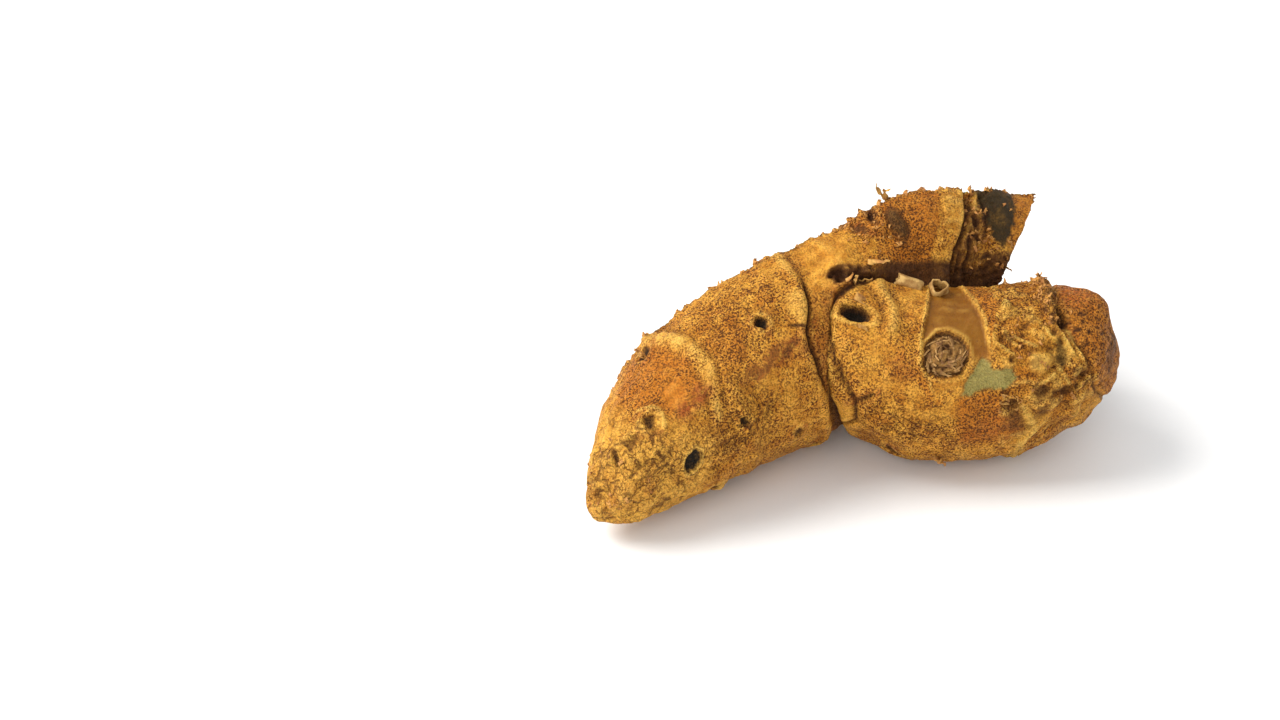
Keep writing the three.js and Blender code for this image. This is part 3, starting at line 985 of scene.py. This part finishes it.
# %% Shred builder
def add_shred(bm, foot, grows, faces, length, width, curl, tip=0.35, ripple=0.12, thick=0.09, rand=None):
    """A strip that starts at foot, grows in one direction and curls towards where it faces. Sizes in mm."""
    made = bmesh.ops.create_grid(bm, x_segments=2, y_segments=6, size=0.5)["verts"]
    for vert in made:
        up = vert.co.y + 0.5
        across = vert.co.x * width * (1 + (tip - 1) * up ** 1.5)
        bend = curl * up
        reach = length * (math.sin(bend) / curl if abs(curl) > 0.01 else up)
        rise = length * ((1 - math.cos(bend)) / curl if abs(curl) > 0.01 else 0)
        uneven = ripple * width * (rand.random() - 0.5) if rand else 0
        vert.co = Vector((across + uneven, reach, rise + uneven + 0.25 * width * abs(vert.co.x) * 2))
    faces_made = list({face for vert in made for face in vert.link_faces})
    grows = Vector(grows).normalized()
    side = grows.cross(Vector(faces)).normalized()
    normal = side.cross(grows)
    turn = Matrix((side, grows, normal)).transposed().to_4x4()
    bmesh.ops.transform(bm, matrix=Matrix.Translation(foot) @ turn, verts=made)
    bmesh.ops.solidify(bm, geom=faces_made, thickness=thick)


def finish_piece(name, bm):
    bmesh.ops.scale(bm, vec=(MM, MM, MM), verts=bm.verts)
    bmesh.ops.recalc_face_normals(bm, faces=bm.faces)
    piece = from_bmesh(name, bm)
    piece.data.shade_smooth()
    return piece


SEARCH_STEP = 3
OUTSIDE = 40
KNIFE_LIKE = 0.75


def on_skin(limb, along, around):
    """The place on the sculpted skin that a limb reading points at, and the way the skin faces there.

    Where the knife took that skin away, it turns towards the front until it finds some."""
    for turn in range(0, 180, SEARCH_STEP):
        start, outwards = limb.at(along, around + turn)
        for origin, way in ((start * MM, outwards), ((start + outwards * OUTSIDE) * MM, -outwards)):
            hit, faces, _, _ = skin_tree.ray_cast(origin, way)
            if hit is not None and outwards.dot(faces) > 0 and faces.dot(Vector(cut_looks)) < KNIFE_LIKE:
                return hit / MM, faces
    return start, outwards


print("top of the lobe at", [round(v, 1) for v in on_skin(lobe, 20, 0)[0]], "mm")

# %% [markdown]
# The rim of the cut gets a few dozen small shreds, thickest along the top edge.

# %% Shreds along the cut
SHRED_COUNT = 44
SHRED_SPACING = 1.6
dice = random.Random(7)
rim_points = np.flatnonzero((on_cut > 0.3) & (on_cut < 0.7))
bm = bmesh.new()
placed = []
for index in dice.sample(list(rim_points), len(rim_points)):
    foot = Vector(shaped[index])
    if len(placed) >= SHRED_COUNT or any((foot - other).length < SHRED_SPACING for other in placed):
        continue
    skin_faces = Vector(outward[index] - cut_looks * (outward[index] @ cut_looks)).normalized()
    top_edge = skin_faces.z > 0.2
    if not top_edge and dice.random() < 0.6:
        continue
    placed.append(foot)
    along_rim = skin_faces.cross(Vector(cut_looks)) * dice.choice((-1, 1))
    grows = Vector(cut_looks) * dice.uniform(0.2, 0.6) + skin_faces * dice.uniform(0.0, 0.45)
    grows += along_rim * dice.uniform(0.4, 1.3)
    length = dice.uniform(0.5, 1.3) * (1.1 if top_edge else 0.8)
    add_shred(bm, foot - skin_faces * 0.3 - Vector(cut_looks) * 0.3, grows, skin_faces, length,
              dice.uniform(0.5, 1.3), dice.uniform(-0.9, 0.9), tip=0.4, ripple=0.5, rand=dice)
rim_shreds = finish_piece("rim_shreds", bm)
print(len(placed), "shreds along the rim")

# %% [markdown]
# Single bits that catch the eye: a long twisted curl on the top edge, the flap over the open root scar,
# a peeled rosette on the lobe, a torn tab beside the first ring and a loose flake under the lobe.

# %% Single flaps and flakes
bm = bmesh.new()
spot, faces = on_skin(finger, 64.5, 4)
CURL = [
    ((-0.9, 0.25, 0.35), 3.4, 0.7, 1.3), ((-0.5, 0.3, 0.8), 2.0, 0.6, 0.9),
    ((-0.9, 0.1, 0.9), 2.7, 0.45, 2.0),
]
for grows, length, width, curl in CURL:
    add_shred(bm, spot + Vector((0, 1.0, 0.1)), Vector(grows), faces, length, width, curl,
              tip=0.6, ripple=0.5, rand=dice)
spot, faces = on_skin(finger, 20.5, -30)
TAB = [((-0.9, 0.1, 0.1), 2.2, 0.9), ((-0.4, 0.2, 0.7), 1.3, 1.2), ((-0.7, -0.3, 0.3), 1.4, 0.7)]
for grows, length, width in TAB:
    add_shred(bm, spot, Vector(grows), faces, length, width, 0.8, tip=0.5, ripple=0.5, rand=dice)
spot, faces = on_skin(lobe, 5.0, 21)
add_shred(bm, spot + faces * 0.15, Vector((0.9, -0.25, -0.3)), faces, 2.9, 2.0, -0.6,
          tip=0.35, ripple=0.3, rand=dice)
spot, faces = on_skin(lobe, 7.4, 41)
add_shred(bm, spot + faces * 0.1, Vector((0.3, -0.2, 0.8)), faces, 0.8, 1.6, 0.6,
          tip=0.6, ripple=0.3, rand=dice)
spot, faces = on_skin(lobe, 30.0, 82)
ROSETTE = 9
for step in range(ROSETTE):
    turn = step * 2 * math.pi / ROSETTE + 0.3
    grows = Vector((math.cos(turn), -0.15, math.sin(turn))) + faces * 0.45
    foot = spot + Vector((math.cos(turn), 0, math.sin(turn))) * 0.7
    length = 2.6 if math.cos(turn) < -0.7 else dice.uniform(0.8, 1.6)
    add_shred(bm, foot, grows, faces, length, dice.uniform(0.6, 1.0), dice.uniform(0.1, 0.9),
              tip=0.25, rand=dice)
spot, faces = on_skin(lobe, 19.5, 128)
add_shred(bm, spot, Vector((0.7, -0.7, -0.1)), faces, 1.9, 1.8, 0.3, tip=0.6, ripple=0.4, rand=dice)
flaps = finish_piece("skin_flaps", bm)
print("flaps", len(flaps.data.polygons), "faces")

# %% [markdown]
# In the gap between the limbs lie slivers of torn skin, a pale dried root stub and a hollow
# three-cornered one. A stub is an open cone whose wall is solidified; a swing in its radius gives it
# corners.

# %% Bits in the gap
bm = bmesh.new()
spot, faces = on_skin(finger, 55, 29)
add_shred(bm, spot + faces * 0.1, Vector((0.95, 0.1, -0.15)), Vector((0, -0.6, 0.8)), 3.4, 0.8, 0.9,
          tip=0.25, ripple=0.6, rand=dice)
SLIVERS = [(48.5, 31, 0.2), (50.5, 34, 0.9), (52.5, 33, 0.4)]
for along, around, heading in SLIVERS:
    spot, faces = on_skin(finger, along, around)
    grows = Vector((math.cos(heading), 0.1, math.sin(heading) * 0.7)) + faces * 0.6
    add_shred(bm, spot, grows, faces, dice.uniform(1.4, 2.6), dice.uniform(0.5, 1.0), dice.uniform(-1, 1.4),
              ripple=0.5, rand=dice)
gap_bits = finish_piece("gap_sliver", bm)


def add_stub(bm, foot, tip, wide, narrow, corners, swing):
    """A hollow stub from foot to tip, open at the tip, with its rim worn uneven."""
    axis = tip - foot
    stub = bmesh.new()
    bmesh.ops.create_cone(stub, cap_ends=False, segments=24, radius1=wide, radius2=narrow,
                          depth=axis.length)
    lengthwise = [edge for edge in stub.edges if edge.calc_length() > axis.length * 0.9]
    bmesh.ops.subdivide_edges(stub, edges=lengthwise, cuts=3, use_grid_fill=True)
    for vert in stub.verts:
        angle = math.atan2(vert.co.y, vert.co.x)
        worn = noise.noise(Vector((math.cos(angle) * 2, math.sin(angle) * 2, vert.co.z)) + foot)
        vert.co.xy *= 1 + swing * math.cos(corners * angle) + 0.22 * worn
        vert.co.z += 0.35 * worn
    turn = axis.to_track_quat("Z", "Y").to_matrix().to_4x4()
    bmesh.ops.transform(stub, matrix=Matrix.Translation(foot + axis / 2) @ turn, verts=stub.verts)
    shape = bpy.data.meshes.new("stub")
    stub.to_mesh(shape)
    stub.free()
    bm.from_mesh(shape)


stub_bm = bmesh.new()
start, faces = on_skin(lobe, 12.6, -14)
foot = start - faces * 0.2 + Vector((0.4, 0, 0))
add_stub(stub_bm, foot, start + Vector((-3.2, 0.2, 1.3)), 1.25, 0.95, 5, 0.10)
start, faces = on_skin(lobe, 18.2, -14)
add_stub(stub_bm, start - faces * 0.5, start + Vector((0.1, -0.9, 1.5)), 1.55, 1.25, 3, 0.17)
bmesh.ops.solidify(stub_bm, geom=stub_bm.faces[:], thickness=0.22)
root_stubs = finish_piece("root_stubs", stub_bm)
print("stubs", len(root_stubs.data.polygons), "faces")

# %% [markdown]
# The dead bud is a nest of dry fibres that run round it. Each is a narrow strip laid along its circle.

# %% Fibres of the dead bud
bm = bmesh.new()
BUD_ALONG = 19.6
BUD_AROUND = 46.5
BUD_REACH = 3.3
FIBRE_COUNT = 85
LOBE_REACH = 13.3
centre = on_skin(lobe, BUD_ALONG, BUD_AROUND)[0]
for _ in range(FIBRE_COUNT):
    spin = dice.uniform(0, 2 * math.pi)
    reach = BUD_REACH * math.sqrt(dice.uniform(0.01, 1))
    aside = math.degrees(reach * math.sin(spin) / LOBE_REACH)
    spot, faces = on_skin(lobe, BUD_ALONG + reach * math.cos(spin), BUD_AROUND + aside)
    out_from_middle = (spot - centre).normalized()
    grows = faces.cross(out_from_middle) + faces * dice.uniform(-0.05, 0.35)
    grows += out_from_middle * dice.uniform(-0.5, 0.3)
    add_shred(bm, spot + faces * 0.02, grows, faces, dice.uniform(0.7, 1.9), dice.uniform(0.14, 0.34),
              dice.uniform(-0.8, 0.5), tip=0.5, ripple=0.3, thick=0.1, rand=dice)
bud_fibres = finish_piece("bud_fibres", bm)
print("bud fibres", len(bud_fibres.data.polygons), "faces")

# %% [markdown]
# Scale-like flecks cover the torn ridge of the lobe, the old tip and the torn patch of the finger.

# %% Flecks on rough skin
bm = bmesh.new()
fleck_count = 0
FLECK_AREAS = [
    # limb, along from and to, around from and to, how many
    (lobe, 38.2, 41, -30, 34, 60),
    (lobe, 31, 43, 20, 110, 34),
    (lobe, 28, 42, -90, 10, 26),
    (finger, -1, 7, -75, 80, 26),
    (finger, 55, 62, -10, 30, 40),
    (finger, 72, 80, 8, 62, 46),
]
for limb, first, last, near, far, number in FLECK_AREAS:
    for _ in range(number):
        spot, faces = on_skin(limb, dice.uniform(first, last), dice.uniform(near, far))
        grows = faces * dice.uniform(0.1, 0.5) + Vector([dice.uniform(-1, 1) for _ in range(3)])
        add_shred(bm, spot - faces * 0.1, grows, faces, dice.uniform(0.35, 1.2), dice.uniform(0.25, 0.7),
                  dice.uniform(-1.2, 1.2), ripple=0.4, thick=0.08, rand=dice)
        fleck_count += 1
flecks = finish_piece("skin_flecks", bm)
print(fleck_count, "flecks")

# %% [markdown]
# ## Writing finishes as sums
# A finish is a formula over the surface, so it reads best as one. Wire wraps a socket and lets Python's
# own operators add the Math nodes, and Finish makes any other node from its type, its settings and its
# inputs.

# %% Wires and finishes
class Wire:
    """A value or colour somewhere in a finish, which arithmetic can be written on."""

    def __init__(self, finish, socket):
        self.finish = finish
        self.socket = socket

    def sum(self, operation, *terms, clamp=False):
        return self.finish.node("ShaderNodeMath", {"operation": operation, "use_clamp": clamp}, list(terms))

    def __add__(self, other):
        return self.sum("ADD", self, other)

    def __sub__(self, other):
        return self.sum("SUBTRACT", self, other)

    def __rsub__(self, other):
        return self.sum("SUBTRACT", other, self)

    def __mul__(self, other):
        return self.sum("MULTIPLY", self, other)

    __radd__ = __add__
    __rmul__ = __mul__

    def above(self, start, end):
        """0 below start, 1 above end, eased between; start may be the larger."""
        settings = {"interpolation_type": "SMOOTHSTEP"}
        if start < end:
            return self.finish.node("ShaderNodeMapRange", settings, [self, start, end, 0.0, 1.0])
        return self.finish.node("ShaderNodeMapRange", settings, [self, end, start, 1.0, 0.0])

    def held(self):
        return self.sum("ADD", self, 0.0, clamp=True)


class Finish:
    """A material under construction."""

    def __init__(self, name):
        self.material = bpy.data.materials.new(name)
        self.material.use_nodes = True
        self.tree = self.material.node_tree
        self.shader = self.tree.nodes["Principled BSDF"]
        self.place = self.node("ShaderNodeTexCoord", {}, {}, "Object")

    def node(self, kind, settings, inputs, output=0):
        made = self.tree.nodes.new(kind)
        for name, value in settings.items():
            setattr(made, name, value)
        named = inputs.items() if isinstance(inputs, dict) else enumerate(inputs)
        for key, value in named:
            self.plug(value, made.inputs[key])
        return Wire(self, made.outputs[output])

    def plug(self, value, socket):
        if isinstance(value, Wire):
            self.tree.links.new(value.socket, socket)
        else:
            socket.default_value = value

    def noise(self, per_metre, detail=2.0, rough=0.5, where=None, warp=0.0):
        return self.node("ShaderNodeTexNoise", {},
                         {"Vector": where or self.place, "Scale": per_metre, "Detail": detail,
                          "Roughness": rough, "Distortion": warp})

    def cells(self, per_metre, feature="F1", where=None):
        return self.node("ShaderNodeTexVoronoi", {"feature": feature},
                         {"Vector": where or self.place, "Scale": per_metre}, "Distance")

    def warped(self, reach, per_metre):
        """The place on the surface, pushed about by noise, so that a pattern on it runs unevenly."""
        rough = {"Vector": self.place, "Scale": per_metre, "Detail": 2.0}
        push = self.node("ShaderNodeTexNoise", {}, rough, "Color")
        push = self.node("ShaderNodeVectorMath", {"operation": "SUBTRACT"}, [push, (0.5, 0.5, 0.5)])
        push = self.node("ShaderNodeVectorMath", {"operation": "SCALE"}, {0: push, "Scale": 2 * reach})
        return self.node("ShaderNodeVectorMath", {"operation": "ADD"}, [self.place, push])

    def tint(self, name):
        return self.node("ShaderNodeAttribute", {"attribute_name": name}, {}, "Fac")

    def mix(self, share, first, second):
        first = first if isinstance(first, Wire) else (*first, 1.0)
        second = second if isinstance(second, Wire) else (*second, 1.0)
        settings = {"data_type": "RGBA"}
        return self.node("ShaderNodeMix", settings, {0: share, 6: first, 7: second}, 2)

    def bump(self, height, strength, distance):
        inputs = {"Height": height, "Strength": strength, "Distance": distance}
        return self.node("ShaderNodeBump", {}, inputs)

    def set(self, **sockets):
        for name, value in sockets.items():
            self.plug(value, self.shader.inputs[name.replace("_", " ")])
        return self.material


print("wires ready")

# %% [markdown]
# ## The skin's finish
# Fresh galangal has a corky, golden tan skin. Up close it is a net of tiny brown specks, denser in some
# clouds than in others. The tints from the sculpture lay the special skins over it, and the cut face
# under its own tint is moist yellow flesh with long fibres, paler towards the rim.

# %% Skin finish
CORK_LIGHT = (0.76, 0.355, 0.042)
CORK_MID = (0.53, 0.205, 0.015)
NET = (0.30, 0.105, 0.012)
SPECK = (0.115, 0.036, 0.006)
PALE = (0.84, 0.50, 0.10)
ORANGE = (0.52, 0.155, 0.008)
RUST = (0.36, 0.075, 0.012)
BARK = (0.115, 0.042, 0.009)
CRACK = (0.055, 0.018, 0.005)
SCAR = (0.018, 0.013, 0.008)
WAXY = (0.155, 0.054, 0.003)
MOULD_BLACK = (0.045, 0.026, 0.007)
HUSK = (0.36, 0.18, 0.05)
GREEN = (0.34, 0.27, 0.075)
FLESH_HEART = (0.44, 0.385, 0.036)
FLESH_EDGE = (0.56, 0.50, 0.17)
FLESH_FIBRE = (0.38, 0.28, 0.04)
FLESH_LINE = (0.40, 0.30, 0.06)
FLESH_DRIED = (0.40, 0.19, 0.03)
GREEN_SHADE = (0.26, 0.20, 0.06)


def flesh_colour(skin, blotch):
    """Yellow flesh, deeper in colour towards its middle, with a faint line where the core begins."""
    inward = skin.tint("depth")
    stretched = {"Vector": skin.place, "Rotation": (0, -0.15, math.radians(27)), "Scale": (9, 1, 1)}
    lengthwise = skin.node("ShaderNodeMapping", {"vector_type": "TEXTURE"}, stretched)
    fibres = skin.noise(2300, 3, 0.6, where=lengthwise)
    heart = inward.above(2.2, 6.5)
    flesh = skin.mix((heart * (0.8 + blotch * 0.3)).held(), FLESH_EDGE, FLESH_HEART)
    flesh = skin.mix(fibres.above(0.52, 0.66) * 0.30, flesh, FLESH_FIBRE)
    ring_line = inward.above(2.0, 2.5) * inward.above(3.3, 2.8)
    flesh = skin.mix(ring_line * 0.35, flesh, FLESH_LINE)
    flesh = skin.mix(inward.above(0.55, 0.2), flesh, FLESH_DRIED)
    return flesh, fibres


def skin_finish():
    skin = Finish("galangal_skin")
    cloud = skin.noise(95, 3)
    blotch = skin.noise(420, 4, 0.6, warp=0.4)
    grain = skin.noise(1400, 4, 0.6)
    specks = skin.noise(3300, 2, 0.6)
    net = skin.noise(2300, 3, 0.7, warp=1.5)
    mottle = skin.noise(230, 4, 0.65, warp=0.8)
    dots = skin.cells(1300)
    waxy = skin.tint("waxy")
    scaly = skin.tint("scaly")
    orange = skin.tint("orange")
    smooth = skin.tint("smooth")
    hollow = skin.tint("hollow")
    crest_highlight = skin.tint("crest_highlight")

    colour = skin.mix(blotch.above(0.38, 0.66), CORK_LIGHT, CORK_MID)
    colour = skin.mix(mottle.above(0.50, 0.66) * 0.55, colour, ORANGE)
    colour = skin.mix((orange * (0.45 + grain * 0.8)).held(), colour, ORANGE)
    colour = skin.mix((skin.tint("red") * grain.above(0.30, 0.55)).held(), colour, RUST)
    colour = skin.mix(waxy * 0.9, colour, WAXY)
    # the crest share is a painted highlight on the crests; the ring share is the pale scar colour
    colour = skin.mix((skin.tint("ring") * (0.35 + grain * 0.9) + crest_highlight * 0.35).held(), colour, PALE)

    plain_share = (1 - waxy * 0.9) * (1 - smooth * 0.65) * (1 - skin.tint("ring") * 0.5)
    dense = cloud.above(0.38, 0.60) * 0.35 + mottle.above(0.42, 0.60) * 0.35
    # more specks in the hollows, as painted shade
    dense = (dense + orange * 0.2 + hollow * 0.4 + 0.30) * plain_share
    colour = skin.mix((net.above(0.49, 0.58) * dense * 0.95).held(), colour, NET)
    speck = specks.above(0.515, 0.575) * dense * 1.25
    colour = skin.mix(speck.held(), colour, SPECK)
    pin = dots.above(0.22, 0.13) * grain.above(0.46, 0.56) * (0.3 + smooth * 0.5 + waxy * 0.4)
    colour = skin.mix(pin.held(), colour, SPECK)
    crack_line = skin.tint("plates").above(0.09, 0.02) * scaly * blotch.above(0.40, 0.56)
    colour = skin.mix((crack_line * 0.7).held(), colour, CRACK)
    fine_plates = skin.cells(900, "DISTANCE_TO_EDGE", where=skin.warped(0.0006, 1100))
    chapped = scaly * 0.55 + cloud.above(0.52, 0.62) * 0.3
    chap = fine_plates.above(0.11, 0.03) * chapped * grain.above(0.42, 0.58)
    colour = skin.mix(chap.held(), colour, SPECK)
    # painted shade: the hollows are mixed towards BARK
    colour = skin.mix((hollow * (0.5 - scaly * 0.32)).held(), colour, BARK)

    # tint, its least share, the noise that varies it and by how much, and its colour
    layers = [("bark", 0.45, grain, 0.9, BARK), ("husk", 0.55, grain, 0.8, HUSK),
              ("mould", 0.62, blotch, 0.7, MOULD_BLACK), ("crack", 0.5, grain, 0.9, CRACK),
              ("scar", 0.7, grain, 0.6, SCAR)]
    for name, least, uneven, swing, layer in layers:
        colour = skin.mix((skin.tint(name) * (least + uneven * swing)).held(), colour, layer)
    bare = skin.tint("bare")
    green = skin.mix(specks.above(0.54, 0.62) * 0.5, GREEN, GREEN_SHADE)
    colour = skin.mix((bare * (0.85 + grain * 0.3)).held(), colour, green)
    rim = skin.tint("rim")
    colour = skin.mix((rim * 0.6 * grain.above(0.40, 0.60)).held(), colour, RUST)

    flesh, fibres = flesh_colour(skin, blotch)
    cut = skin.tint("flesh")
    colour = skin.mix(cut, colour, flesh)

    height = grain * (0.8 + scaly * 0.5) + net * 0.5 + blotch * 0.9
    height = height - speck * 0.35 - chap * 0.8 - crack_line * 1.0
    height = height * (1 - cut) * (1 - waxy * 0.75) * (1 - smooth * 0.3) + fibres * cut * 0.35
    normal = skin.bump(height, 1.0, 0.00050)
    gloss = 0.58 + scaly * 0.15 + speck * 0.15 - waxy * 0.16 - cut * 0.20 + (grain - 0.5) * 0.25
    return skin.set(Base_Color=colour, Roughness=gloss.held(), Normal=normal, Specular_IOR_Level=0.16,
                    Subsurface_Weight=0.10, Subsurface_Radius=(1.0, 0.40, 0.10), Subsurface_Scale=0.0015)


# %% [markdown]
# Shreds, flaps, stubs and flecks are the same cork, dry and thin, browner where they are torn.

# %% Finishes of the loose bits
def dry_finish(name, pale, brown, speck_share):
    dry = Finish(name)
    blotch = dry.noise(700, 3, 0.6)
    grain = dry.noise(2600, 4, 0.7)
    colour = dry.mix(blotch.above(0.38, 0.62), pale, brown)
    colour = dry.mix(grain.above(0.52, 0.68) * speck_share, colour, BARK)
    return dry.set(Base_Color=colour, Roughness=0.72 + (grain - 0.5) * 0.3,
                   Normal=dry.bump(grain + blotch, 0.6, 0.0002))


def sheet_finish():
    paper = Finish("white_sheet")
    tooth = paper.noise(900, 2)
    return paper.set(Base_Color=paper.mix(tooth, (0.90, 0.90, 0.895), (0.92, 0.92, 0.915)),
                     Roughness=0.6 + tooth * 0.1, Normal=paper.bump(tooth, 0.05, 0.0001))


rhizome.data.materials.append(skin_finish())
shred_finish = dry_finish("torn_cork", (0.62, 0.29, 0.06), (0.32, 0.12, 0.02), 0.6)
flap_finish = dry_finish("papery_cork", (0.62, 0.33, 0.07), (0.38, 0.155, 0.028), 0.45)
stub_finish = dry_finish("dried_root", (0.56, 0.34, 0.10), (0.30, 0.145, 0.03), 0.4)
husk_finish = dry_finish("dry_husk", (0.48, 0.26, 0.075), (0.22, 0.095, 0.024), 0.5)
for piece, finish in ((rim_shreds, shred_finish), (flaps, flap_finish), (root_stubs, stub_finish),
                      (gap_bits, flap_finish), (bud_fibres, husk_finish), (flecks, shred_finish)):
    piece.data.materials.append(finish)
floor.data.materials.append(sheet_finish())
print("finishes", [m.name for m in bpy.data.materials])

# %% [markdown]
# ## The finished pieces
# The sculpted skin stands for the imported solid, and the torn bits ride with it.

# %% Ride, replace and finish
for piece in (rhizome, rim_shreds, flaps, root_stubs, gap_bits, bud_fibres, flecks):
    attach(piece, "root")
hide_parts("rhizome")
